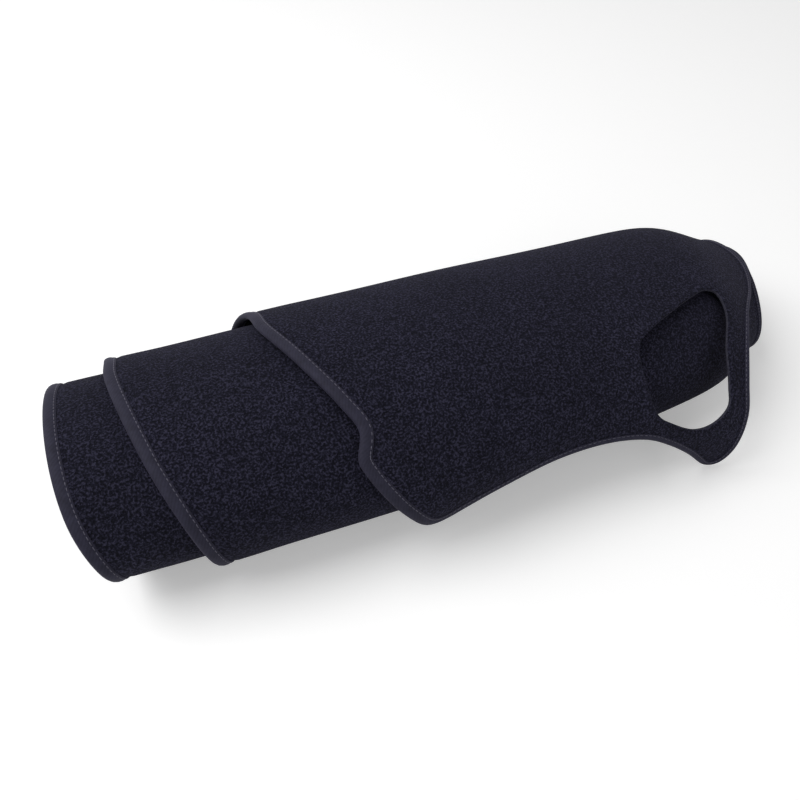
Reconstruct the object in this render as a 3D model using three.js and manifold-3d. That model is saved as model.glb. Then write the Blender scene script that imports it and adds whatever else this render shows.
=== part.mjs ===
// Dashboard cover mat, rolled up and lying on its side, with the loose end hanging over the front.
// Millimetres. X runs along the roll, -Y is the side of the loose end, and Z is up from the surface
// it lies on. The cloth is described twice: as a flat pattern (s along its length, x across it) and
// as the spiral that the pattern is rolled into. s is 0 on top of the outermost turn and grows
// towards the loose end.
import * as THREE from "three";
import { mergeVertices } from "three/addons/utils/BufferGeometryUtils.js";
import Module from "manifold-3d";

// Cloth
const THICK = 3.7; // pile and backing together
const EDGE_THICK = 2.2; // where the sewn tape squeezes it
const GAP = 0.3; // between cloth and tape
const TAPE_THICK = 0.6;
const TAPE_WIDTH = 8.5; // of the tape on each face
const TAPE_ROUND = 0.25; // how much lower its two outer corners stand at the fold

// Roll
const HALF_WIDTH = 105; // of the outermost turn, to the middle of the cloth
const HALF_HEIGHT = 71;
const PITCH = 10; // from one turn to the next
const SAG = 5; // how far the roll's own weight flattens it where it rests
const SAG_BLEND = 2;
const INNER_END = -1330; // s of the cloth's inner end
const LAST_ROW = 240; // s past which there is no cloth
const SPARE = 60; // how far the spiral is worked out past the cloth at each end

// Narrower right end: each section is scaled about a point on the surface it rests on
const SLOW_START = -140;
const SLOW_SCALE = 0.16;
const SLOW_REACH = 440;
const SLOW_STOP = 320;
const SLOW_CENTRE = -165;
const FAST_START = 250;
const FAST_STOP = 314;
const FAST_BLEND = 12;
const FAST_RATE = 0.0052;
const FAST_CENTRE = -60;

// Loose end: past LIFT_ANGLE the cloth bends less than the roll, and less still towards the right
const LIFT_ANGLE = THREE.MathUtils.degToRad(10);
const OPEN_LEFT = 0.15;
const OPEN_RIGHT = 0.55;
const OPEN_FROM = -60;
const OPEN_TO = 290;
const OPEN_LEAST = -0.3; // shares of the way between the two past which it stays the same
const OPEN_MOST = 1.2;
const CURL = THREE.MathUtils.degToRad(26); // the loose end's last stretch turns under by this much
const CURL_REACH = 55;
const CURL_LOW = 142; // s where the loose end's edge comes nearest to the top, and the x of that place
const CURL_X = 62;
const CURL_RISE = 0.0039;

// Flat pattern, as [s, x]
const LEFT_EDGE = [
  [-1330, -262], [-1180, -268], [-1120, -279], [-1013, -284], [-925, -280], [-861, -265],
  [-720, -252], [-600, -239], [-560, -238], [-480, -223], [-388, -196], [-220, -164], [-80, -127],
  [-40, -123], [10, -105], [51, -87], [73, -79], [93, -85], [104, -82], [131, -68], [172, -39],
];
const RIGHT_EDGE = [
  [-1330, 310], [-1180, 313], [-1000, 316], [-800, 320], [-680, 325], [-580, 330], [-540, 328],
  [-494, 320], [-427, 310], [-350, 311], [-220, 316], [-60, 316], [25, 313], [60, 297], [86, 266],
  [112, 247], [140, 237], [172, 234], [198, 226], [225, 207],
];
const END_EDGE = [
  [172, -39], [159, -12], [149, 22], [141, 62], [142, 104], [152, 138], [166, 158], [189, 181],
  [225, 207],
];
const CORNER_INNER = 30; // radius of the two inner corners
const CORNER_LEFT = 20;
const CORNER_RIGHT = 16;
const OPENING = [
  [44, 231], [50, 241], [70, 241], [104, 224], [135, 217], [153, 214], [162, 200], [161, 182],
  [147, 161], [133, 147], [112, 143], [90, 144], [74, 149], [65, 163], [54, 192], [46, 218],
];

// Mesh
const RING = TAPE_WIDTH + 1; // where the squeezed edge ends
const ACROSS = [120, 160, 200, 232, 252, 267, 282, 297]; // x of the lines that run along the cloth
const ACROSS_LEFT = [0.2, 0.45, 0.72]; // shares of the way from the left edge to the first of them
// Along the loose end's edge
const END_SHARES = [0, 0.05, 0.12, 0.24, 0.38, 0.51, 0.61, 0.69, 0.76, 0.82, 0.88, 0.94, 1];
const SAGITTA = 0.55; // most that a flat facet may stand off the curve
const SHORTEST = 9;
const LONGEST = 20;
const LOOSE_FROM = -60; // s where the rows start to turn towards the loose end's edge
const LOOSE_ROWS = 16;
const START_TO = -1270;
const START_ROWS = 4;
const BEND_REACH = 12; // length over which the roll's bend is measured
const TAU_STEP = THREE.MathUtils.degToRad(0.25);
const LOOSE_STEP = 2;
const NORMAL_STEP = 1.5;
const CURVE_POINTS = 12; // between two points of a smooth line
const ARC_HALF = 6; // points in half a rounded corner
const INNER_POINTS = 20;
const OPENING_POINTS = 400;
const PLUG_BANDS = 14;
const PLUG_ACROSS = 3;
const PLUG_INSET = 0.35; // of a band, from the opening's two ends to the first and last band
const PLUG_CLEAR = 1.6; // how far the plug stands out of the cloth on each side
const WELD = 1e-3;

// The roll's centre in the frame where x, f and z were set
const CENTRE_X = 23.07;
const CENTRE_Y = -3.54;

// Height that puts the outermost turn's underside on the surface the roll lies on
const raise = THICK / 2 + HALF_HEIGHT - SAG - PITCH / 2;

// Middle of the cloth on the spiral: tau is the direction the cloth faces, 0 straight up
function spiralPoint(tau) {
  const sin = Math.sin(tau);
  const cos = Math.cos(tau);
  const h = Math.hypot(HALF_WIDTH * sin, HALF_HEIGHT * cos);
  const slope = ((HALF_WIDTH ** 2 - HALF_HEIGHT ** 2) * sin * cos) / h;
  const grow = (PITCH * tau) / (2 * Math.PI);
  const rate = PITCH / (2 * Math.PI);
  const f = (h + grow) * sin + (slope + rate) * cos;
  let z = (h + grow) * cos - (slope + rate) * sin;
  if (tau < 0) {
    const turn = -Math.round((tau + Math.PI) / (2 * Math.PI));
    const floor = -HALF_HEIGHT + SAG + PITCH * (0.5 + turn);
    const over = z - floor + SAG_BLEND;
    const blend = Math.min(over, 2 * SAG_BLEND);
    if (over <= 0) z = floor;
    else if (over < 2 * SAG_BLEND) z = floor + blend ** 2 / (4 * SAG_BLEND);
  }
  return [f, z + raise];
}

// The spiral in small steps of cloth, with its length, its direction and the slope of the cloth
function tabulate() {
  const fine = [];
  let s = 0;
  let last = spiralPoint(0);
  for (let tau = 0; s < LAST_ROW + SPARE; tau += TAU_STEP) {
    const p = spiralPoint(tau);
    s += Math.hypot(p[0] - last[0], p[1] - last[1]);
    fine.push({ s, tau, f: p[0], z: p[1] });
    last = p;
  }
  s = 0;
  last = spiralPoint(0);
  for (let tau = -TAU_STEP; s > INNER_END - SPARE; tau -= TAU_STEP) {
    const p = spiralPoint(tau);
    s -= Math.hypot(p[0] - last[0], p[1] - last[1]);
    fine.unshift({ s, tau, f: p[0], z: p[1] });
    last = p;
  }
  for (let i = 1; i < fine.length; i++) {
    const angle = Math.atan2(fine[i - 1].z - fine[i].z, fine[i].f - fine[i - 1].f);
    const before = i > 1 ? fine[i - 1].angle : angle;
    fine[i].angle = angle + 2 * Math.PI * Math.round((before - angle) / (2 * Math.PI));
  }
  fine[0].angle = fine[1].angle;
  const turns = Math.round((fine[fine.length - 1].tau - fine[fine.length - 1].angle) / (2 * Math.PI));
  for (const row of fine) row.angle += 2 * Math.PI * turns;
  return fine;
}
const fine = tabulate();

function at(s, key) {
  let low = 0;
  let high = fine.length - 1;
  while (high - low > 1) {
    const middle = (low + high) >> 1;
    if (fine[middle].s > s) high = middle;
    else low = middle;
  }
  const share = (s - fine[low].s) / (fine[high].s - fine[low].s);
  return fine[low][key] + share * (fine[high][key] - fine[low][key]);
}
const liftRow = fine.find((row) => row.tau >= LIFT_ANGLE);
const lift = { s: liftRow.s, f: liftRow.f, z: liftRow.z, angle: liftRow.angle };

// Middle of the cloth in the section at x, before the right end is narrowed
function middle(s, x) {
  if (s <= lift.s) return [at(s, "f"), at(s, "z")];
  const ramp = (x - OPEN_FROM) / (OPEN_TO - OPEN_FROM);
  const share = THREE.MathUtils.clamp(ramp, OPEN_LEAST, OPEN_MOST);
  const bend = 1 - (OPEN_LEFT + (OPEN_RIGHT - OPEN_LEFT) * share);
  const edge = CURL_LOW + CURL_RISE * (x - CURL_X) ** 2;
  const steps = Math.ceil((s - lift.s) / LOOSE_STEP);
  const step = (s - lift.s) / steps;
  let f = lift.f;
  let z = lift.z;
  for (let i = 0; i < steps; i++) {
    const here = lift.s + (i + 0.5) * step;
    const under = Math.max(0, 1 - (edge - here) / CURL_REACH);
    const angle = lift.angle + (at(here, "angle") - lift.angle) * bend + CURL * under ** 2;
    f += step * Math.cos(angle);
    z -= step * Math.sin(angle);
  }
  return [f, z];
}

function softRamp(v, blend) {
  return blend * Math.log1p(Math.exp(v / blend));
}

// Middle of the cloth in the object's own frame
function onSurface(s, x) {
  let [f, z] = middle(s, x);
  const reach = Math.max(Math.min(x, SLOW_STOP) - SLOW_START, 0) / SLOW_REACH;
  const slow = 1 - SLOW_SCALE * reach ** 2;
  const ramp = softRamp(x - FAST_START, FAST_BLEND) - softRamp(x - FAST_STOP, FAST_BLEND);
  const fast = 1 - FAST_RATE * ramp;
  const rest = THICK / 2;
  f = SLOW_CENTRE + slow * (f - SLOW_CENTRE);
  z = rest + slow * (z - rest);
  f = FAST_CENTRE + fast * (f - FAST_CENTRE);
  z = rest + fast * (z - rest);
  return new THREE.Vector3(x - CENTRE_X, -f - CENTRE_Y, z);
}

// A point of the cloth at n off its middle, never below the given height
function place(s, x, n, lowest) {
  const along = onSurface(s + NORMAL_STEP, x).sub(onSurface(s - NORMAL_STEP, x));
  const across = onSurface(s, x + NORMAL_STEP).sub(onSurface(s, x - NORMAL_STEP));
  const normal = along.cross(across).normalize().multiplyScalar(-n);
  const p = onSurface(s, x).add(normal);
  p.z = Math.max(p.z, lowest);
  return p;
}

// A smooth line through points of the flat pattern
function smooth(points, closed, count) {
  const through = points.map(([s, x]) => new THREE.Vector3(s, x, 0));
  const curve = new THREE.CatmullRomCurve3(through, closed, "centripetal");
  return curve.getPoints(count).map((p) => new THREE.Vector2(p.x, p.y));
}

// Rounds the corner where two lines meet, and splits the arc between them
function roundCorner(before, after, radius) {
  const corner = before.at(-1);
  const lineA = before.filter((p) => p.distanceTo(corner) > radius);
  const lineB = after.filter((p) => p.distanceTo(corner) > radius);
  const a = corner.clone().add(lineA.at(-1).clone().sub(corner).setLength(radius));
  const b = corner.clone().add(lineB[0].clone().sub(corner).setLength(radius));
  const arc = new THREE.QuadraticBezierCurve(a, corner, b).getPoints(2 * ARC_HALF);
  return [[...lineA, ...arc.slice(0, ARC_HALF + 1)], [...arc.slice(ARC_HALF), ...lineB]];
}

const innerRight = new THREE.Vector2(...RIGHT_EDGE[0]);
const innerLeft = new THREE.Vector2(...LEFT_EDGE[0]);
let innerSide = shares(INNER_POINTS).map((share) => innerRight.clone().lerp(innerLeft, share));
let leftSide = smooth(LEFT_EDGE, false, LEFT_EDGE.length * CURVE_POINTS);
let endSide = smooth(END_EDGE, false, END_EDGE.length * CURVE_POINTS);
let rightSide = smooth(RIGHT_EDGE, false, RIGHT_EDGE.length * CURVE_POINTS).reverse();
[innerSide, leftSide] = roundCorner(innerSide, leftSide, CORNER_INNER);
[leftSide, endSide] = roundCorner(leftSide, endSide, CORNER_LEFT);
[endSide, rightSide] = roundCorner(endSide, rightSide, CORNER_RIGHT);
[rightSide, innerSide] = roundCorner(rightSide, innerSide, CORNER_INNER);

// Points at the given shares of a line's length
function walk(line, wantedShares) {
  const lengths = [0];
  for (let i = 1; i < line.length; i++) {
    lengths.push(lengths[i - 1] + line[i].distanceTo(line[i - 1]));
  }
  return wantedShares.map((share) => {
    const wanted = share * lengths.at(-1);
    let i = 1;
    while (i < line.length - 1 && lengths[i] < wanted) i++;
    const part = (wanted - lengths[i - 1]) / (lengths[i] - lengths[i - 1]);
    return line[i - 1].clone().lerp(line[i], part);
  });
}

// Where a line passes s
function crossing(line, s) {
  const i = line.findIndex((p, k) => k > 0 && (p.x - s) * (line[k - 1].x - s) <= 0);
  const before = line[i - 1];
  return before.clone().lerp(line[i], (s - before.x) / (line[i].x - before.x));
}

function shares(count) {
  return Array.from({ length: count + 1 }, (_, i) => i / count);
}

// Rows of the cloth between its two ends: closer together where the roll bends more
const bodyRows = [START_TO];
while (bodyRows.at(-1) < LOOSE_FROM) {
  const s = bodyRows.at(-1);
  const bend = Math.abs(at(s + BEND_REACH, "angle") - at(s, "angle")) / BEND_REACH;
  const chord = Math.sqrt((8 * SAGITTA) / bend); // the one whose arc stands off it by the sagitta
  bodyRows.push(s + THREE.MathUtils.clamp(chord, SHORTEST, LONGEST));
}
bodyRows.pop();
bodyRows.push(LOOSE_FROM);

// The outline's stations along a side: one for each row
function sideStations(line) {
  const start = line.filter((p) => p.x < START_TO);
  const loose = line.filter((p) => p.x > LOOSE_FROM);
  return [
    ...walk([...start, crossing(line, START_TO)], shares(START_ROWS)).slice(0, -1),
    ...bodyRows.map((s) => crossing(line, s)),
    ...walk([crossing(line, LOOSE_FROM), ...loose], shares(LOOSE_ROWS)).slice(1),
  ];
}
const left = sideStations(leftSide);
const right = sideStations([...rightSide].reverse());
const lineShares = (from, to) => {
  const line = ACROSS.map((x) => (x - from) / (to - from));
  return [0, ...ACROSS_LEFT.map((share) => share * line[0]), ...line, 1];
};
const innerShares = lineShares(innerLeft.y, innerRight.y);
const end = walk(endSide, END_SHARES);
const inner = walk([...innerSide].reverse(), innerShares);
const rows = left.length - 1;
const columns = innerShares.length - 1;
const outline = [
  ...left,
  ...end.slice(1, -1),
  ...[...right].reverse(),
  ...inner.slice(1, -1).reverse(),
];

// The outline moved out by q in the pattern's plane
function ringAt(q) {
  return outline.map((p, i) => {
    const next = outline[(i + 1) % outline.length];
    const last = outline[(i + outline.length - 1) % outline.length];
    const toNext = next.clone().sub(p).normalize();
    const fromLast = p.clone().sub(last).normalize();
    const along = toNext.add(fromLast).normalize();
    return new THREE.Vector2(p.x + q * along.y, p.y - q * along.x);
  });
}

// The cloth: two faces, a squeezed edge and the rim
const clothRing = ringAt(-RING);
const squeezeRing = ringAt(-TAPE_WIDTH - GAP);
const leftOf = (row) => clothRing[row];
const rightOf = (row) => clothRing[2 * rows + columns - row];
const endOf = (column) => clothRing[rows + column];
const innerOf = (column) => clothRing[(2 * rows + 2 * columns - column) % outline.length];

function shareAt(row, column) {
  const looseStart = rows - LOOSE_ROWS;
  const body = THREE.MathUtils.clamp(row, START_ROWS, looseStart);
  const share = lineShares(leftOf(body).y, rightOf(body).y)[column];
  if (row < START_ROWS) {
    return THREE.MathUtils.lerp(innerShares[column], share, row / START_ROWS);
  }
  if (row > looseStart) {
    const part = (row - looseStart) / LOOSE_ROWS;
    return THREE.MathUtils.lerp(share, END_SHARES[column], part);
  }
  return share;
}

// A point of the grid: straight across in the middle, and following the edge at the two ends
function gridPoint(row, column) {
  const w = shareAt(row, column);
  const line = leftOf(row).clone().lerp(rightOf(row), w);
  const towardsEnd = Math.max(0, (row - (rows - LOOSE_ROWS)) / LOOSE_ROWS);
  const towardsStart = Math.max(0, 1 - row / START_ROWS);
  const endMove = endOf(column).clone().sub(leftOf(rows).clone().lerp(rightOf(rows), w));
  const startMove = innerOf(column).clone().sub(leftOf(0).clone().lerp(rightOf(0), w));
  return line.add(endMove.multiplyScalar(towardsEnd)).add(startMove.multiplyScalar(towardsStart));
}

function meshOf(points, faces) {
  const geometry = new THREE.BufferGeometry();
  const xyz = points.flatMap((p) => p.toArray());
  geometry.setAttribute("position", new THREE.Float32BufferAttribute(xyz, 3));
  geometry.setIndex(faces);
  return geometry;
}

function clothGeometry() {
  const points = [];
  const faces = [];
  const quad = (a, b, c, d) => faces.push(a, b, c, a, c, d);
  const put = (p, n, lowest) => points.push(place(p.x, p.y, n, lowest)) - 1;
  const lowEdge = TAPE_THICK + GAP;
  const sides = [1, -1].map((side) => {
    const grid = [];
    for (let row = 0; row <= rows; row++) {
      for (let column = 0; column <= columns; column++) {
        grid.push(put(gridPoint(row, column), (side * THICK) / 2, 0));
      }
    }
    const cell = (row, column) => grid[row * (columns + 1) + column];
    for (let row = 0; row < rows; row++) {
      for (let column = 0; column < columns; column++) {
        const ring = [
          cell(row, column),
          cell(row, column + 1),
          cell(row + 1, column + 1),
          cell(row + 1, column),
        ];
        if (side < 0) ring.reverse();
        quad(...ring);
      }
    }
    const border = outline.map((_, i) => {
      if (i <= rows) return cell(i, 0);
      if (i <= rows + columns) return cell(rows, i - rows);
      if (i <= 2 * rows + columns) return cell(2 * rows + columns - i, columns);
      return cell(0, 2 * rows + 2 * columns - i);
    });
    const squeezed = squeezeRing.map((p) => put(p, (side * EDGE_THICK) / 2, lowEdge));
    const rim = outline.map((p) => put(p, (side * EDGE_THICK) / 2, lowEdge));
    for (const [from, to] of [[border, squeezed], [squeezed, rim]]) {
      from.forEach((_, i) => {
        const j = (i + 1) % outline.length;
        const ring = [from[i], from[j], to[j], to[i]];
        if (side < 0) ring.reverse();
        quad(...ring);
      });
    }
    return rim;
  });
  sides[0].forEach((a, i) => {
    const j = (i + 1) % outline.length;
    quad(a, sides[0][j], sides[1][j], sides[1][i]);
  });
  return meshOf(points, faces);
}

// The tape: a channel folded round the edge, one closed loop
function tapeGeometry() {
  const inside = EDGE_THICK / 2 + GAP;
  const outside = inside + TAPE_THICK;
  const fold = GAP + TAPE_THICK;
  // Each corner: how far out of the cloth's edge, how far off its middle, and its least height
  const section = [
    [-TAPE_WIDTH, outside, 0],
    [fold, outside - TAPE_ROUND, 0],
    [fold, TAPE_ROUND - outside, 0],
    [-TAPE_WIDTH, -outside, 0],
    [-TAPE_WIDTH, -inside, TAPE_THICK],
    [GAP, -inside, TAPE_THICK],
    [GAP, inside, TAPE_THICK],
    [-TAPE_WIDTH, inside, TAPE_THICK],
  ];
  const rings = section.map(([q]) => ringAt(q));
  const points = [];
  const faces = [];
  outline.forEach((_, i) => {
    section.forEach(([, n, lowest], k) => {
      points.push(place(rings[k][i].x, rings[k][i].y, n, lowest));
    });
  });
  outline.forEach((_, i) => {
    const j = (i + 1) % outline.length;
    section.forEach((_, k) => {
      const m = (k + 1) % section.length;
      const a = i * section.length + k;
      const b = i * section.length + m;
      const c = j * section.length + m;
      const d = j * section.length + k;
      faces.push(a, d, b, b, d, c);
    });
  });
  return meshOf(points, faces);
}

// The opening: a plug that follows the loose end's curve, cut from the cloth
function plugGeometry() {
  const rim = smooth(OPENING, true, OPENING_POINTS);
  const low = Math.min(...rim.map((p) => p.x));
  const high = Math.max(...rim.map((p) => p.x));
  const points = [];
  const faces = [];
  for (let band = 0; band <= PLUG_BANDS; band++) {
    const turn = (Math.PI * (band + PLUG_INSET)) / (PLUG_BANDS + 2 * PLUG_INSET);
    const s = THREE.MathUtils.lerp(low, high, (1 - Math.cos(turn)) / 2);
    const hits = [];
    rim.forEach((p, k) => {
      const q = rim[(k + 1) % rim.length];
      if ((p.x - s) * (q.x - s) < 0) {
        hits.push(THREE.MathUtils.lerp(p.y, q.y, (s - p.x) / (q.x - p.x)));
      }
    });
    const from = Math.min(...hits);
    const to = Math.max(...hits);
    for (const side of [1, -1]) {
      for (let k = 0; k <= PLUG_ACROSS; k++) {
        const part = (side > 0 ? k : PLUG_ACROSS - k) / PLUG_ACROSS;
        const n = side * (THICK / 2 + PLUG_CLEAR);
        points.push(place(s, THREE.MathUtils.lerp(from, to, part), n, 0));
      }
    }
  }
  const size = 2 * (PLUG_ACROSS + 1);
  const quad = (a, b, c, d) => faces.push(a, b, c, a, c, d);
  for (let band = 0; band < PLUG_BANDS; band++) {
    const here = band * size;
    const next = here + size;
    for (let k = 0; k < size; k++) {
      const m = (k + 1) % size;
      quad(here + k, here + m, next + m, next + k);
    }
  }
  const last = PLUG_BANDS * size;
  for (let k = 0; k < PLUG_ACROSS; k++) {
    quad(k, size - 1 - k, size - 2 - k, k + 1);
    quad(last + k + 1, last + size - 2 - k, last + size - 1 - k, last + k);
  }
  return meshOf(points, faces);
}

const wasm = await Module();
wasm.setup();

function solidOf(geometry) {
  const merged = mergeVertices(geometry, WELD);
  const mesh = new wasm.Mesh({
    numProp: 3,
    vertProperties: merged.attributes.position.array,
    triVerts: new Uint32Array(merged.index.array),
  });
  return new wasm.Manifold(mesh);
}

function geometryOf(solid) {
  const mesh = solid.getMesh();
  const geometry = new THREE.BufferGeometry();
  geometry.setAttribute("position", new THREE.BufferAttribute(mesh.vertProperties, mesh.numProp));
  geometry.setIndex(new THREE.BufferAttribute(new Uint32Array(mesh.triVerts), 1));
  return geometry;
}

const cloth = solidOf(clothGeometry());
const plug = solidOf(plugGeometry());
const mat = new THREE.Mesh(
  geometryOf(cloth.subtract(plug)),
  new THREE.MeshStandardMaterial({ color: 0x25252f, roughness: 0.95, metalness: 0 }),
);
mat.name = "mat";

const binding = new THREE.Mesh(
  tapeGeometry(),
  new THREE.MeshStandardMaterial({ color: 0x45434f, roughness: 0.8, metalness: 0 }),
);
binding.name = "edge_binding";

const rolled = new THREE.Group();
rolled.add(mat, binding);
export default rolled;
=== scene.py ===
# Dashboard cover mat of dark fleece, rolled up and lying on its side, its loose end over the front.
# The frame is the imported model: metres, +X along the roll, -Y the side of the loose end, +Z up.
import math
import bpy
import numpy as np
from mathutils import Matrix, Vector
from mathutils.geometry import delaunay_2d_cdt


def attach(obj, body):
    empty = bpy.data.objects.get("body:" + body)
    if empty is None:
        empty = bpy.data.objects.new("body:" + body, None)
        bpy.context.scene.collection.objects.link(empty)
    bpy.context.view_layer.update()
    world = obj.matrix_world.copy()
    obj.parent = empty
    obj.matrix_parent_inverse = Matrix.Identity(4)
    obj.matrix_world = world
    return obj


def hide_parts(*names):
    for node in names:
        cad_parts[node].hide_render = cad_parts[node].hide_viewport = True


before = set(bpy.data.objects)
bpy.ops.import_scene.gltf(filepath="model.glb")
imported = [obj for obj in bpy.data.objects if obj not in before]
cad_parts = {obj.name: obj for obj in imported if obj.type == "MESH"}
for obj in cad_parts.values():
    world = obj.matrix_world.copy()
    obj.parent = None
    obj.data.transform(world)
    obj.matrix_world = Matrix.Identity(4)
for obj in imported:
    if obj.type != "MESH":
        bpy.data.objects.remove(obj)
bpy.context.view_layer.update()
bpy.ops.object.select_all(action="DESELECT")

# Camera
# It looks down on the roll from the front left, near enough that the left end looks larger.
# A frame 800 pixels square takes the whole roll in, with white above and below it.
CAMERA_AZIMUTH = math.radians(-19.6)
CAMERA_ELEVATION = math.radians(48.3)
CAMERA_DISTANCE = 0.660
CAMERA_TARGET = Vector((-0.04807, 0.00354, 0.053))
FRAME_PIXELS = 800
FOCAL_PIXELS = 810
SENSOR_WIDTH = 36.0

towards_camera = Vector((
    math.sin(CAMERA_AZIMUTH) * math.cos(CAMERA_ELEVATION),
    -math.cos(CAMERA_AZIMUTH) * math.cos(CAMERA_ELEVATION),
    math.sin(CAMERA_ELEVATION),
))
camera_data = bpy.data.cameras.new("camera")
camera_data.sensor_width = SENSOR_WIDTH
camera_data.lens = SENSOR_WIDTH * FOCAL_PIXELS / FRAME_PIXELS
camera = bpy.data.objects.new("camera", camera_data)
camera.location = CAMERA_TARGET + CAMERA_DISTANCE * towards_camera
camera.rotation_euler = (-towards_camera).to_track_quat("-Z", "Y").to_euler()
bpy.context.scene.collection.objects.link(camera)
bpy.context.scene.camera = camera

# The roll's form
# The mat is one piece of cloth. s runs along it in mm, from its inner end to its loose end, and x
# across it. Its middle follows a flattened spiral that sinks a little onto what it lies on.
HALF_WIDTH = 105.0
HALF_HEIGHT = 71.0
PITCH = 10.0
SAG = 5.0
SAG_BLEND = 2.0
THICK = 3.7
TURN_STEP = math.radians(0.25)
TURN_FIRST = math.radians(-1150)
TURN_LAST = math.radians(260)


def spiral(turn):
    sine = np.sin(turn)
    cosine = np.cos(turn)
    reach = np.hypot(HALF_WIDTH * sine, HALF_HEIGHT * cosine)
    slope = (HALF_WIDTH**2 - HALF_HEIGHT**2) * sine * cosine / reach
    grow = PITCH * turn / (2 * math.pi)
    rate = PITCH / (2 * math.pi)
    forward = (reach + grow) * sine + (slope + rate) * cosine
    height = (reach + grow) * cosine - (slope + rate) * sine
    lap = -np.round((turn + math.pi) / (2 * math.pi))
    floor = -HALF_HEIGHT + SAG + PITCH * (0.5 + lap)
    over = np.maximum(height - floor + SAG_BLEND, 0)
    sunk = np.where(over < 2 * SAG_BLEND, floor + over**2 / (4 * SAG_BLEND), height)
    raised = THICK / 2 + HALF_HEIGHT - SAG - PITCH / 2
    return forward, np.where(turn < 0, sunk, height) + raised


turns = np.arange(TURN_FIRST, TURN_LAST, TURN_STEP)
turns -= turns[np.argmin(np.abs(turns))]
spiral_f, spiral_z = spiral(turns)
spiral_s = np.concatenate([[0], np.cumsum(np.hypot(np.diff(spiral_f), np.diff(spiral_z)))])
spiral_s -= np.interp(0, turns, spiral_s)
heading = np.unwrap(np.arctan2(-np.diff(spiral_z), np.diff(spiral_f)))
heading = np.concatenate([heading[:1], heading])
heading += 2 * math.pi * round((turns[-1] - heading[-1]) / (2 * math.pi))

# The loose end bends less than the roll and stands off it, most at the right, and its edge curls
# under. The right end of the roll is squeezed narrower, about points on what the roll lies on.
LIFT_ANGLE = math.radians(10)
OPEN_LEFT, OPEN_RIGHT = 0.15, 0.55
OPEN_FROM, OPEN_TO = -60.0, 290.0
OPEN_LEAST, OPEN_MOST = -0.3, 1.2
CURL = math.radians(26)
CURL_REACH = 55.0
CURL_LOW = 142.0
CURL_X = 62.0
CURL_RISE = 0.0039
LOOSE_STEPS = 110
SLOW_START, SLOW_STOP, SLOW_REACH = -140.0, 320.0, 440.0
SLOW_SCALE, SLOW_CENTRE = 0.16, -165.0
FAST_START, FAST_STOP, FAST_BLEND = 250.0, 314.0, 12.0
FAST_RATE, FAST_CENTRE = 0.0052, -60.0
CENTRE_X, CENTRE_Y = 23.07, -3.54
NORMAL_STEP = 1.5
lift = np.argmax(turns >= LIFT_ANGLE)


def soft_ramp(value, blend):
    """Nought below zero and the value above it, with a soft bend between."""
    return blend * np.logaddexp(0, value / blend)


def on_surface(s, x):
    """Middle of the cloth, in mm."""
    f = np.interp(s, spiral_s, spiral_f)
    z = np.interp(s, spiral_s, spiral_z)
    share = np.clip((x - OPEN_FROM) / (OPEN_TO - OPEN_FROM), OPEN_LEAST, OPEN_MOST)
    bend = 1 - (OPEN_LEFT + (OPEN_RIGHT - OPEN_LEFT) * share)
    edge = CURL_LOW + CURL_RISE * (x - CURL_X) ** 2
    step = np.maximum(s - spiral_s[lift], 0) / LOOSE_STEPS
    loose_f = np.full(s.shape, spiral_f[lift])
    loose_z = np.full(s.shape, spiral_z[lift])
    for i in range(LOOSE_STEPS):
        here = spiral_s[lift] + (i + 0.5) * step
        under = np.maximum(0, 1 - (edge - here) / CURL_REACH)
        turned = (np.interp(here, spiral_s, heading) - heading[lift]) * bend
        angle = heading[lift] + turned + CURL * under**2
        loose_f += step * np.cos(angle)
        loose_z -= step * np.sin(angle)
    f = np.where(step > 0, loose_f, f)
    z = np.where(step > 0, loose_z, z)
    slow = 1 - SLOW_SCALE * (np.maximum(np.minimum(x, SLOW_STOP) - SLOW_START, 0) / SLOW_REACH) ** 2
    ramp = soft_ramp(x - FAST_START, FAST_BLEND) - soft_ramp(x - FAST_STOP, FAST_BLEND)
    fast = 1 - FAST_RATE * ramp
    rest = THICK / 2
    f = FAST_CENTRE + fast * (SLOW_CENTRE + slow * (f - SLOW_CENTRE) - FAST_CENTRE)
    z = rest + fast * slow * (z - rest)
    return np.stack([x - CENTRE_X, -f - CENTRE_Y, z], axis=-1)


def place(s, x, off, lowest):
    """Point at off mm from the cloth's middle, never below lowest, in metres."""
    s = np.asarray(s, float)
    x = np.asarray(x, float)
    along = on_surface(s + NORMAL_STEP, x) - on_surface(s - NORMAL_STEP, x)
    across = on_surface(s, x + NORMAL_STEP) - on_surface(s, x - NORMAL_STEP)
    normal = np.cross(across, along)
    normal /= np.linalg.norm(normal, axis=-1, keepdims=True)
    point = on_surface(s, x) + normal * np.asarray(off, float)[..., None]
    point[..., 2] = np.maximum(point[..., 2], lowest)
    return point * 0.001


# The flat pattern
# The cloth is cut in the shape of a dashboard: a long curved back edge, a shaped front edge and an
# opening near one corner. Each point below is s, x in mm.
LEFT_EDGE = [
    (-1330, -262), (-1180, -268), (-1120, -279), (-1013, -284), (-925, -280), (-861, -265),
    (-720, -252), (-600, -239), (-560, -238), (-480, -223), (-388, -196), (-220, -164),
    (-80, -127), (-40, -123), (10, -105), (51, -87), (73, -79), (93, -85), (104, -82), (131, -68),
    (172, -39),
]
RIGHT_EDGE = [
    (-1330, 310), (-1180, 313), (-1000, 316), (-800, 320), (-680, 325), (-580, 330), (-540, 328),
    (-494, 320), (-427, 310), (-350, 311), (-220, 316), (-60, 316), (25, 313), (60, 297),
    (86, 266), (112, 247), (140, 237), (172, 234), (198, 226), (225, 207),
]
END_EDGE = [
    (172, -39), (159, -12), (149, 22), (141, 62), (142, 104), (152, 138), (166, 158), (189, 181),
    (225, 207),
]
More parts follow.
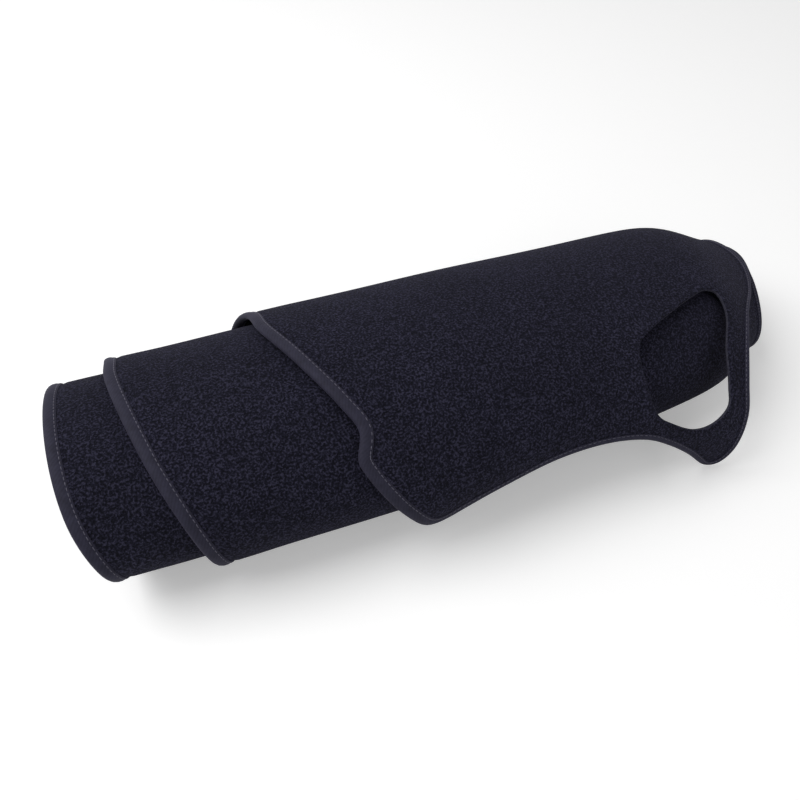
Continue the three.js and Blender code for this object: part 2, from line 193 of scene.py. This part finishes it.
OPENING = [
    (44, 231), (50, 241), (70, 241), (104, 224), (135, 217), (153, 214), (162, 200), (161, 182),
    (147, 161), (133, 147), (112, 143), (90, 144), (74, 149), (65, 163), (54, 192), (46, 218),
]
CORNER_INNER = 30.0
CORNER_LEFT = 20.0
CORNER_RIGHT = 16.0
SPAN_POINTS = 12
INNER_POINTS = 40


def smooth_line(points, closed):
    """A centripetal Catmull-Rom curve through the points."""
    given = np.array(points, float)
    if closed:
        ring = np.vstack([given[-1:], given, given[:2]])
    else:
        ring = np.vstack([2 * given[0] - given[1], given, 2 * given[-1] - given[-2]])
    t = (np.arange(SPAN_POINTS) / SPAN_POINTS)[:, None]
    line = []
    for a, b, c, d in zip(ring, ring[1:], ring[2:], ring[3:]):
        before = np.linalg.norm(b - a) ** 0.5
        span = np.linalg.norm(c - b) ** 0.5
        after = np.linalg.norm(d - c) ** 0.5
        leave = span * ((b - a) / before - (c - a) / (before + span) + (c - b) / span)
        arrive = span * ((c - b) / span - (d - b) / (span + after) + (d - c) / after)
        bow = 2 * b - 2 * c + leave + arrive
        line.append(b + leave * t + (3 * c - 3 * b - 2 * leave - arrive) * t**2 + bow * t**3)
    if not closed:
        line.append(given[-1:])
    return np.vstack(line)


def round_corner(before, after, radius):
    """Two lines that meet in a corner, cut back from it, the first with an arc to the second."""
    corner = before[-1]
    kept_before = before[np.linalg.norm(before - corner, axis=1) > radius]
    kept_after = after[np.linalg.norm(after - corner, axis=1) > radius]
    start = kept_before[-1] - corner
    end = kept_after[0] - corner
    start = corner + radius * start / np.linalg.norm(start)
    end = corner + radius * end / np.linalg.norm(end)
    t = (np.arange(SPAN_POINTS + 1) / SPAN_POINTS)[:, None]
    arc = (1 - t) ** 2 * start + 2 * t * (1 - t) * corner + t**2 * end
    return np.vstack([kept_before, arc]), kept_after


left_line = smooth_line(LEFT_EDGE, False)
end_line = smooth_line(END_EDGE, False)
right_line = smooth_line(RIGHT_EDGE, False)[::-1]
inner_line = np.linspace(RIGHT_EDGE[0], LEFT_EDGE[0], INNER_POINTS)
left_line, end_line = round_corner(left_line, end_line, CORNER_LEFT)
end_line, right_line = round_corner(end_line, right_line, CORNER_RIGHT)
right_line, inner_line = round_corner(right_line, inner_line, CORNER_INNER)
inner_line, left_line = round_corner(inner_line, left_line, CORNER_INNER)


def even_stations(ring, step):
    """Points a step apart round a closed line."""
    closed = np.vstack([ring, ring[:1]])
    length = np.concatenate([[0], np.cumsum(np.linalg.norm(np.diff(closed, axis=0), axis=1))])
    wanted = np.arange(round(length[-1] / step)) * length[-1] / round(length[-1] / step)
    return np.stack([np.interp(wanted, length, closed[:, k]) for k in range(2)], axis=1)


def moved_out(ring, out):
    """The closed line moved out in the pattern's plane, by one distance or one for each point."""
    along = np.roll(ring, -1, axis=0) - np.roll(ring, 1, axis=0)
    along /= np.linalg.norm(along, axis=1, keepdims=True)
    return ring + np.reshape(out, (-1, 1)) * np.stack([along[:, 1], -along[:, 0]], axis=1)


# The stitches' pitch sets the stations, so that the tape can be drawn in at each stitch.
STITCH_PITCH = 4.0
STATION_STEP = STITCH_PITCH / 2
outline = even_stations(np.vstack([left_line, end_line, right_line, inner_line]), STATION_STEP)
if len(outline) % 2:
    outline = even_stations(outline, STATION_STEP * len(outline) / (len(outline) - 1))

# The cloth
# Short cut fleece on a felt back, 3.7 mm thick in all, one piece. The pile is squeezed flat where
# the tape is sewn over its edge, and it is left as cut round the opening.
EDGE_THICK = 2.2
TAPE_WIDTH = 8.5
SQUEEZE_TO = 13.0
CUT_THICK = 2.3
CUT_ROUND = 3.5
CUT_STEP = 2.0
ROW_STEP = 5.5
COLUMN_STEP = 7.0
LOOP_DEPTHS = (4.0, 8.0, 9.5, 11.0, SQUEEZE_TO)
CUT_LOOP_DEPTHS = (0.8, 2.0, CUT_ROUND)
LOOP_SLACK = 0.2
LATTICE_CLEAR = 3
LOW_EDGE = 0.9
SWELL = 0.7
SWELL_FROM_EDGE, SWELL_FROM_CUT = 40.0, 30.0
ON_CUT = 0.5
UV_SIZE = 1600.0
INSIDE_LOOPS = 1
CUT_LOOP = 1
MERGE_NEARER = 1e-4
FLEECE_SLOT, FELT_SLOT, CUT_SLOT = 0, 1, 2


def distance_to(points, ring):
    """How far each point is from a closed line."""
    nearest = np.full(len(points), np.inf)
    for a, b in zip(ring, np.roll(ring, -1, axis=0)):
        side = b - a
        share = np.clip((points - a) @ side / (side @ side), 0, 1)
        nearest = np.minimum(nearest, np.linalg.norm(points - a - share[:, None] * side, axis=1))
    return nearest


def inside(points, ring):
    """Whether each point lies within a closed line."""
    odd = np.zeros(len(points), bool)
    for a, b in zip(ring, np.roll(ring, -1, axis=0)):
        if a[1] == b[1]:
            continue
        crosses = (a[1] > points[:, 1]) != (b[1] > points[:, 1])
        at = a[0] + (points[:, 1] - a[1]) * (b[0] - a[0]) / (b[1] - a[1])
        odd ^= crosses & (points[:, 0] < at)
    return odd


cut = even_stations(smooth_line(OPENING, True), CUT_STEP)
coarse_outline = outline[::2]
rows = np.arange(outline[:, 0].min(), outline[:, 0].max(), ROW_STEP)
columns = np.arange(outline[:, 1].min(), outline[:, 1].max(), COLUMN_STEP)
lattice = np.array([(s, x + COLUMN_STEP / 2 * (i % 2)) for i, s in enumerate(rows) for x in columns])
lattice = lattice[inside(lattice, coarse_outline)]
lattice = lattice[distance_to(lattice, coarse_outline) > SQUEEZE_TO + LATTICE_CLEAR]
lattice = lattice[distance_to(lattice, cut) > CUT_ROUND + LATTICE_CLEAR]
lattice = lattice[~inside(lattice, cut)]
inner_loops = []
for depth in LOOP_DEPTHS:
    loop = moved_out(coarse_outline, -depth)
    inner_loops.append(loop[distance_to(loop, coarse_outline) > depth - LOOP_SLACK])
for depth in CUT_LOOP_DEPTHS:
    loop = moved_out(cut, depth)
    if np.mean(inside(loop, cut)) > 0.5:
        loop = moved_out(cut, -depth)
    inner_loops.append(loop[distance_to(loop, cut) > depth - LOOP_SLACK])
flat_points = np.vstack([coarse_outline, cut, *inner_loops, lattice])
edge_count = len(coarse_outline)
edge_loop = list(range(edge_count))
cut_loop = list(range(edge_count, edge_count + len(cut)))
# The triangulation takes its border loops counter-clockwise. What lies in the cut is left out.
border_loops = []
for loop in (edge_loop, cut_loop):
    ring = flat_points[loop]
    ahead = np.roll(ring, -1, axis=0)
    doubled = np.sum(ring[:, 0] * ahead[:, 1] - ahead[:, 0] * ring[:, 1])
    border_loops.append(loop if doubled > 0 else loop[::-1])
made = delaunay_2d_cdt(
    [Vector(p) for p in flat_points], [], border_loops, INSIDE_LOOPS, MERGE_NEARER,
)
flat = np.array([tuple(v) for v in made[0]])
triangles = np.array([list(f) for f, within in zip(made[2], made[5]) if CUT_LOOP not in within])
corners = flat[triangles]
turned_over = np.cross(corners[:, 1] - corners[:, 0], corners[:, 2] - corners[:, 0]) < 0
triangles[turned_over] = triangles[turned_over][:, ::-1]

to_edge = distance_to(flat, coarse_outline)
to_cut = distance_to(flat, cut)


def eased(value):
    """From 0 to 1 with a soft start and end."""
    value = np.clip(value, 0, 1)
    return value * value * (3 - 2 * value)


# Half the thickness, squeezed under the tape and rounded off at the cut, and a slight swell. off
# in place() counts towards the roll's inside, so the pile is on the face at minus half.
unsqueezed = eased((to_edge - TAPE_WIDTH) / (SQUEEZE_TO - TAPE_WIDTH))
half = EDGE_THICK / 2 + (THICK - EDGE_THICK) / 2 * unsqueezed
rounding = np.sqrt(1 - np.clip(1 - to_cut / CUT_ROUND, 0, 1) ** 2)
half = np.minimum(half, CUT_THICK / 2 + (THICK - CUT_THICK) / 2 * rounding)
low = LOW_EDGE * (1 - unsqueezed)
swell = SWELL * np.sin(flat[:, 0] / 41.0 + flat[:, 1] / 67.0)
swell = swell * np.sin(flat[:, 1] / 53.0 - flat[:, 0] / 97.0)
swell *= eased((to_edge - TAPE_WIDTH) / SWELL_FROM_EDGE) * eased(to_cut / SWELL_FROM_CUT)
inner_face = place(flat[:, 0], flat[:, 1], half + swell, low)
outer_face = place(flat[:, 0], flat[:, 1], swell - half, low)

# A side that only one triangle has is on the border, where a wall joins the two faces.
directed = np.vstack([triangles[:, [0, 1]], triangles[:, [1, 2]], triangles[:, [2, 0]]])
_, first_at, uses = np.unique(
    np.sort(directed, axis=1), axis=0, return_index=True, return_counts=True,
)
border = directed[first_at[uses == 1]]
count = len(flat)
faces = [tuple(t) for t in triangles] + [tuple(t[::-1] + count) for t in triangles]
faces += [(b, a, a + count, b + count) for a, b in border]
cloth_mesh = bpy.data.meshes.new("fleece_mat")
faces = [tuple(int(i) for i in face) for face in faces]
cloth_mesh.from_pydata(np.vstack([inner_face, outer_face]).tolist(), [], faces)
cloth_mesh.update()
cloth = bpy.data.objects.new("fleece_mat", cloth_mesh)
bpy.context.scene.collection.objects.link(cloth)
flat_uv = (flat[:, ::-1] - flat[:, ::-1].min(axis=0)) / UV_SIZE
flat_uv = np.vstack([flat_uv, flat_uv])
uv_layer = cloth_mesh.uv_layers.new(name="flat")
loop_vertices = np.zeros(len(cloth_mesh.loops), int)
cloth_mesh.loops.foreach_get("vertex_index", loop_vertices)
uv_layer.data.foreach_set("uv", flat_uv[loop_vertices].ravel())
cloth_mesh.polygons.foreach_set("use_smooth", [True] * len(faces))
at_cut = to_cut[border].max(axis=1) < ON_CUT
slots = [FELT_SLOT] * len(triangles) + [FLEECE_SLOT] * len(triangles)
slots += [CUT_SLOT if close else FELT_SLOT for close in at_cut]
cloth_mesh.polygons.foreach_set("material_index", slots)


def linear(code):
    """An sRGB hex colour as the linear colour that a shader takes."""
    parts = [int(code[i : i + 2], 16) / 255 for i in (1, 3, 5)]
    return tuple(v / 12.92 if v <= 0.04045 else ((v + 0.055) / 1.055) ** 2.4 for v in parts) + (1.0,)


def add_node(tree, kind, settings, values):
    """A node with its settings, and each input either a value or a link from a socket."""
    node = tree.nodes.new(kind)
    for name, value in settings.items():
        setattr(node, name, value)
    for name, value in values.items():
        if isinstance(value, bpy.types.NodeSocket):
            tree.links.new(value, node.inputs[name])
        else:
            node.inputs[name].default_value = value
    return node


# Polyester fleece, cut short: the fibres' tips catch the light and the gaps between tufts stay
# dark, so it shows a fine grain with no gloss. That grain is painted into the colour: a painted
# highlight on the tips and painted shade in the gaps, under a bump from the same noise. A tuft is
# about 1.6 mm across.
TUFT = 0.0016
PATCH = 0.07
fleece = bpy.data.materials.new("polyester_fleece")
fleece.use_nodes = True
tree = fleece.node_tree
tree.nodes.clear()
place_of = add_node(tree, "ShaderNodeTexCoord", {}, {})
tufts = add_node(tree, "ShaderNodeTexNoise", {}, {
    "Vector": place_of.outputs["Object"], "Scale": 1 / TUFT, "Detail": 2.0, "Roughness": 0.6,
})
# The ramp paints light and shade: the tufts' tips lighter as painted highlight, the gaps between them
# darker as painted shade.
shade = add_node(tree, "ShaderNodeValToRGB", {}, {"Fac": tufts.outputs["Fac"]})
shade.color_ramp.elements[0].position = 0.36
shade.color_ramp.elements[0].color = linear("#090911")
shade.color_ramp.elements[1].position = 0.64
shade.color_ramp.elements[1].color = linear("#323142")
middle_shade = shade.color_ramp.elements.new(0.5)
middle_shade.color = linear("#171723")
patches = add_node(tree, "ShaderNodeTexNoise", {}, {
    "Vector": place_of.outputs["Object"], "Scale": 1 / PATCH, "Detail": 3.0, "Roughness": 0.5,
})
lay = add_node(tree, "ShaderNodeMapRange", {}, {
    "Value": patches.outputs["Fac"], "From Min": 0.3, "From Max": 0.7, "To Min": 0.86, "To Max": 1.14,
})
varied = add_node(tree, "ShaderNodeVectorMath", {"operation": "SCALE"}, {
    0: shade.outputs["Color"], "Scale": lay.outputs["Result"],
})
pile = add_node(tree, "ShaderNodeBump", {}, {
    "Height": tufts.outputs["Fac"], "Strength": 1.0, "Distance": 0.0016,
})
skin = add_node(tree, "ShaderNodeBsdfPrincipled", {}, {
    "Base Color": varied.outputs["Vector"], "Roughness": 0.95, "Normal": pile.outputs["Normal"],
    "Specular IOR Level": 0.1, "Sheen Weight": 0.05, "Sheen Roughness": 0.5,
    "Sheen Tint": linear("#9a96b8"),
})
add_node(tree, "ShaderNodeOutputMaterial", {}, {"Surface": skin.outputs["BSDF"]})

# Needled felt, the mat's back: matt, a little greyer than the pile, with a coarse flat grain.
FELT_GRAIN = 0.003
felt = bpy.data.materials.new("needled_felt_back")
felt.use_nodes = True
tree = felt.node_tree
tree.nodes.clear()
place_of = add_node(tree, "ShaderNodeTexCoord", {}, {})
fibres = add_node(tree, "ShaderNodeTexNoise", {}, {
    "Vector": place_of.outputs["Object"], "Scale": 1 / FELT_GRAIN, "Detail": 3.0, "Roughness": 0.6,
})
shade = add_node(tree, "ShaderNodeValToRGB", {}, {"Fac": fibres.outputs["Fac"]})
shade.color_ramp.elements[0].position = 0.35
shade.color_ramp.elements[0].color = linear("#121219")
shade.color_ramp.elements[1].position = 0.7
shade.color_ramp.elements[1].color = linear("#24242e")
matted = add_node(tree, "ShaderNodeBump", {}, {
    "Height": fibres.outputs["Fac"], "Strength": 0.4, "Distance": 0.0006,
})
skin = add_node(tree, "ShaderNodeBsdfPrincipled", {}, {
    "Base Color": shade.outputs["Color"], "Roughness": 0.95, "Normal": matted.outputs["Normal"],
    "Specular IOR Level": 0.15,
})
add_node(tree, "ShaderNodeOutputMaterial", {}, {"Surface": skin.outputs["BSDF"]})

# The cut edge round the opening shows the fibres end on, and its colour is paler than the pile: partly
# the fibres' ends, partly a painted highlight for the light the edge catches.
cut_edge = bpy.data.materials.new("cut_fleece_edge")
cut_edge.use_nodes = True
tree = cut_edge.node_tree
tree.nodes.clear()
place_of = add_node(tree, "ShaderNodeTexCoord", {}, {})
ends = add_node(tree, "ShaderNodeTexNoise", {}, {
    "Vector": place_of.outputs["Object"], "Scale": 1 / TUFT, "Detail": 2.0, "Roughness": 0.6,
})
# Partly a painted highlight: the ramp makes the whole cut edge paler than the pile.
shade = add_node(tree, "ShaderNodeValToRGB", {}, {"Fac": ends.outputs["Fac"]})
shade.color_ramp.elements[0].position = 0.35
shade.color_ramp.elements[0].color = linear("#24242e")
shade.color_ramp.elements[1].position = 0.7
shade.color_ramp.elements[1].color = linear("#403f4c")
skin = add_node(tree, "ShaderNodeBsdfPrincipled", {}, {
    "Base Color": shade.outputs["Color"], "Roughness": 0.9, "Specular IOR Level": 0.15,
})
add_node(tree, "ShaderNodeOutputMaterial", {}, {"Surface": skin.outputs["BSDF"]})
for material in (fleece, felt, cut_edge):
    cloth_mesh.materials.append(material)
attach(cloth, "root")
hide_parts("mat")

# The edge tape
# A woven polyester strip folded round the cloth's edge and sewn down, one loop all the way round.
# It stands as a soft bead 8.5 mm wide, drawn in a little at each stitch. Its outer face shows less
# of that width at the end and right edges. The section is mm out from the edge, and mm off it.
TAPE_SECTION = [
    (-8.5, 1.35), (-8.2, 1.7), (-7.2, 1.85), (-6.0, 2.3), (-4.2, 2.85), (-2.2, 2.85), (-0.4, 2.3),
    (0.7, 1.4), (1.1, 0.5),
]
SHOWING = 0.55
SHOWING_FROM, SHOWING_OVER = -30.0, 60.0
TAPE_INSIDE = 1.15
TAPE_FOLD = 0.2
TAPE_TUCKED = -4.5
FOLD_LOWEST = 0.6
PUCKER = 0.16
PUCKER_REACH = 2.0
SECTION_CLOSES = 0.2
STITCH_LINE = -7.0
TAPE_UV_SIZE = 1000.0
showing = 1 - (1 - SHOWING) * eased((outline[:, 1] - SHOWING_FROM) / SHOWING_OVER)
section = TAPE_SECTION + [(q, -n) for q, n in TAPE_SECTION[::-1]]
section += [
    (TAPE_TUCKED, -TAPE_INSIDE), (TAPE_FOLD, -TAPE_INSIDE), (TAPE_FOLD, TAPE_INSIDE),
    (-TAPE_WIDTH, TAPE_INSIDE),
]
drawn_in = np.where(np.arange(len(outline)) % 2 == 0, PUCKER, 0.0)
rings = []
for q, n in section:
    ring = moved_out(outline, q * showing if q < 0 and n < -TAPE_INSIDE else q)
    near = math.exp(-(((q - STITCH_LINE) / PUCKER_REACH) ** 2))
    off = n - math.copysign(1, n) * (abs(n) > TAPE_INSIDE) * drawn_in * near
    lowest = 0.0 if abs(n) > TAPE_INSIDE or q > TAPE_FOLD else FOLD_LOWEST
    rings.append(place(ring[:, 0], ring[:, 1], off, lowest))
stations = len(outline)
points = np.stack(rings, axis=1).reshape(-1, 3)
around = len(section)
faces = []
for i in range(stations):
    j = (i + 1) % stations
    for k in range(around):
        m = (k + 1) % around
        faces.append((i * around + k, j * around + k, j * around + m, i * around + m))
tape_mesh = bpy.data.meshes.new("edge_tape")
tape_mesh.from_pydata(points.tolist(), [], faces)
tape_mesh.update()
tape = bpy.data.objects.new("edge_tape", tape_mesh)
bpy.context.scene.collection.objects.link(tape)
tape_uv = tape_mesh.uv_layers.new(name="along")
section_steps = np.linalg.norm(np.diff(np.array(section), axis=0), axis=1)
section_run = np.concatenate([[0], np.cumsum(section_steps)])
section_run = np.append(section_run, section_run[-1] + SECTION_CLOSES)
uv = []
for i in range(stations):
    here = i * STATION_STEP / TAPE_UV_SIZE
    there = (i + 1) * STATION_STEP / TAPE_UV_SIZE
    for k in range(around):
        v0 = section_run[k] / TAPE_UV_SIZE
        v1 = section_run[k + 1] / TAPE_UV_SIZE
        uv += [here, v0, there, v0, there, v1, here, v1]
tape_uv.data.foreach_set("uv", uv)
tape_mesh.polygons.foreach_set("use_smooth", [True] * len(faces))

# Woven polyester tape: a close rib across it, half matt. The real rib is under 1 mm and is drawn
# 1.6 mm wide, as fine as this view can show.
RIB = 0.0016
WAVE_BAND = 0.314
WEAR = 0.006
woven = bpy.data.materials.new("woven_polyester_tape")
woven.use_nodes = True
tree = woven.node_tree
tree.nodes.clear()
tape_map = add_node(tree, "ShaderNodeUVMap", {"uv_map": "along"}, {})
ribs = add_node(tree, "ShaderNodeTexWave", {"bands_direction": "DIAGONAL"}, {
    "Vector": tape_map.outputs["UV"], "Scale": WAVE_BAND / RIB, "Distortion": 1.2, "Detail": 1.0,
})
place_of = add_node(tree, "ShaderNodeTexCoord", {}, {})
wear = add_node(tree, "ShaderNodeTexNoise", {}, {
    "Vector": place_of.outputs["Object"], "Scale": 1 / WEAR, "Detail": 3.0, "Roughness": 0.6,
})
blend = add_node(tree, "ShaderNodeMix", {"data_type": "FLOAT"}, {
    "Factor": 0.85, "A": ribs.outputs["Fac"], "B": wear.outputs["Fac"],
})
shade = add_node(tree, "ShaderNodeValToRGB", {}, {"Fac": blend.outputs["Result"]})
shade.color_ramp.elements[0].position = 0.25
shade.color_ramp.elements[0].color = linear("#191825")
shade.color_ramp.elements[1].position = 0.75
shade.color_ramp.elements[1].color = linear("#2b2a3a")
weave = add_node(tree, "ShaderNodeBump", {}, {
    "Height": ribs.outputs["Fac"], "Strength": 0.15, "Distance": 0.0002,
})
skin = add_node(tree, "ShaderNodeBsdfPrincipled", {}, {
    "Base Color": shade.outputs["Color"], "Roughness": 0.75, "Normal": weave.outputs["Normal"],
    "Specular IOR Level": 0.2, "Sheen Weight": 0.08, "Sheen Tint": linear("#a9a5c4"),
})
add_node(tree, "ShaderNodeOutputMaterial", {}, {"Surface": skin.outputs["BSDF"]})
tape_mesh.materials.append(woven)
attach(tape, "root")
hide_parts("edge_binding")

# The stitching
# Polyester thread through tape and cloth, one row of lock stitches along the tape's inner edge,
# 4 mm apart. Each stitch shows on both faces as a short bead that dips in at its two ends. A ring
# of the bead is its share of the length, its share of the width and how far it dips.
STITCH_LENGTH = 2.9
THREAD = 0.85
STITCH_LIFT = 2.05
STITCH_RINGS = [(-0.5, 0.25, -0.35), (-0.3, 0.9, 0.0), (0.3, 0.9, 0.0), (0.5, 0.25, -0.35)]
THREAD_SIDES = 6
between = outline[1::2]
shown = showing[1::2]
ahead = np.roll(outline, -2, axis=0)[1::2] - np.roll(outline, 2, axis=0)[1::2]
ahead /= np.linalg.norm(ahead, axis=1, keepdims=True)
outward = np.stack([ahead[:, 1], -ahead[:, 0]], axis=1)
points = []
faces = []
for side in (1, -1):
    base = sum(len(p) for p in points)
    per_stitch = []
    for share, width, dip in STITCH_RINGS:
        for turn in range(THREAD_SIDES):
            angle = 2 * math.pi * turn / THREAD_SIDES
            q = STITCH_LINE + THREAD / 2 * width * math.cos(angle) * np.ones(len(between))
            n = STITCH_LIFT + dip + THREAD / 2 * width * math.sin(angle)
            q *= shown if side < 0 else 1
            spot = between + ahead * (share * STITCH_LENGTH) + outward * np.reshape(q, (-1, 1))
            per_stitch.append(place(spot[:, 0], spot[:, 1], np.full(len(spot), side * n), 0.0))
    points.append(np.stack(per_stitch, axis=1).reshape(-1, 3))
    size = len(per_stitch)
    for i in range(len(between)):
        start = base + i * size
        for ring in range(len(STITCH_RINGS) - 1):
            for k in range(THREAD_SIDES):
                m = (k + 1) % THREAD_SIDES
                a = start + ring * THREAD_SIDES
                quad = (a + k, a + m, a + THREAD_SIDES + m, a + THREAD_SIDES + k)
                faces.append(quad if side > 0 else quad[::-1])
        cap = tuple(start + k for k in range(THREAD_SIDES))
        far = tuple(start + size - THREAD_SIDES + k for k in range(THREAD_SIDES))
        faces.append(cap[::-1] if side > 0 else cap)
        faces.append(far if side > 0 else far[::-1])
stitch_mesh = bpy.data.meshes.new("edge_stitches")
stitch_mesh.from_pydata(np.vstack(points).tolist(), [], faces)
stitch_mesh.update()
stitches = bpy.data.objects.new("edge_stitches", stitch_mesh)
bpy.context.scene.collection.objects.link(stitches)
stitch_mesh.polygons.foreach_set("use_smooth", [True] * len(faces))

# Twisted polyester thread: smoother than the tape, so each stitch catches a small light.
TWIST = 0.0008
thread = bpy.data.materials.new("polyester_thread")
thread.use_nodes = True
tree = thread.node_tree
tree.nodes.clear()
place_of = add_node(tree, "ShaderNodeTexCoord", {}, {})
twist = add_node(tree, "ShaderNodeTexNoise", {}, {
    "Vector": place_of.outputs["Object"], "Scale": 1 / TWIST, "Detail": 2.0,
})
shade = add_node(tree, "ShaderNodeValToRGB", {}, {"Fac": twist.outputs["Fac"]})
shade.color_ramp.elements[0].position = 0.3
shade.color_ramp.elements[0].color = linear("#343340")
shade.color_ramp.elements[1].position = 0.7
shade.color_ramp.elements[1].color = linear("#565464")
skin = add_node(tree, "ShaderNodeBsdfPrincipled", {}, {
    "Base Color": shade.outputs["Color"], "Roughness": 0.55, "Specular IOR Level": 0.4,
})
add_node(tree, "ShaderNodeOutputMaterial", {}, {"Surface": skin.outputs["BSDF"]})
stitch_mesh.materials.append(thread)
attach(stitches, "root")

# Floor and light
# A white table under soft studio light from the upper left, with a weak fill from the front.
FLOOR_SIZE = 12
bpy.ops.mesh.primitive_plane_add(size=FLOOR_SIZE)
floor = bpy.context.active_object
floor.name = "floor"
floor_paint = bpy.data.materials.new("white_floor")
floor_paint.use_nodes = True
tree = floor_paint.node_tree
tree.nodes.clear()
paint = add_node(tree, "ShaderNodeBsdfPrincipled", {}, {
    "Base Color": linear("#f2f2f2"), "Roughness": 0.9, "Specular IOR Level": 0.1,
})
glow = add_node(tree, "ShaderNodeEmission", {}, {"Color": (1, 1, 1, 1), "Strength": 0.30})
ray = add_node(tree, "ShaderNodeLightPath", {}, {})
both = add_node(tree, "ShaderNodeAddShader", {}, {0: paint.outputs["BSDF"], 1: glow.outputs["Emission"]})
chosen = add_node(tree, "ShaderNodeMixShader", {}, {
    0: ray.outputs["Is Camera Ray"], 1: paint.outputs["BSDF"], 2: both.outputs["Shader"],
})
add_node(tree, "ShaderNodeOutputMaterial", {}, {"Surface": chosen.outputs["Shader"]})
floor.data.materials.append(floor_paint)

world = bpy.data.worlds.new("studio")
bpy.context.scene.world = world
world.use_nodes = True
tree = world.node_tree
tree.nodes.clear()
ray = add_node(tree, "ShaderNodeLightPath", {}, {})
seen = add_node(tree, "ShaderNodeMath", {"operation": "MAXIMUM"}, {
    0: ray.outputs["Is Camera Ray"], 1: ray.outputs["Is Glossy Ray"],
})
level = add_node(tree, "ShaderNodeMapRange", {}, {
    "Value": seen.outputs["Value"], "To Min": 0.32, "To Max": 1.0,
})
sky = add_node(tree, "ShaderNodeBackground", {}, {
    "Color": (1, 1, 1, 1), "Strength": level.outputs["Result"],
})
add_node(tree, "ShaderNodeOutputWorld", {}, {"Surface": sky.outputs["Background"]})

KEY_AT, KEY_SIZE, KEY_POWER = Vector((-1.1, 0.35, 1.7)), 1.6, 30.0
FILL_AT, FILL_SIZE, FILL_POWER = Vector((0.5, -1.7, 1.1)), 1.8, 5.0
lamps = (("key", KEY_AT, KEY_SIZE, KEY_POWER), ("fill", FILL_AT, FILL_SIZE, FILL_POWER))
for name, spot, size, power in lamps:
    lamp_data = bpy.data.lights.new(name, "AREA")
    lamp_data.size = size
    lamp_data.energy = power
    lamp = bpy.data.objects.new(name, lamp_data)
    lamp.location = spot
    lamp.rotation_euler = (-spot).to_track_quat("-Z", "Y").to_euler()
    bpy.context.scene.collection.objects.link(lamp)

bpy.context.scene.view_settings.view_transform = "Standard"
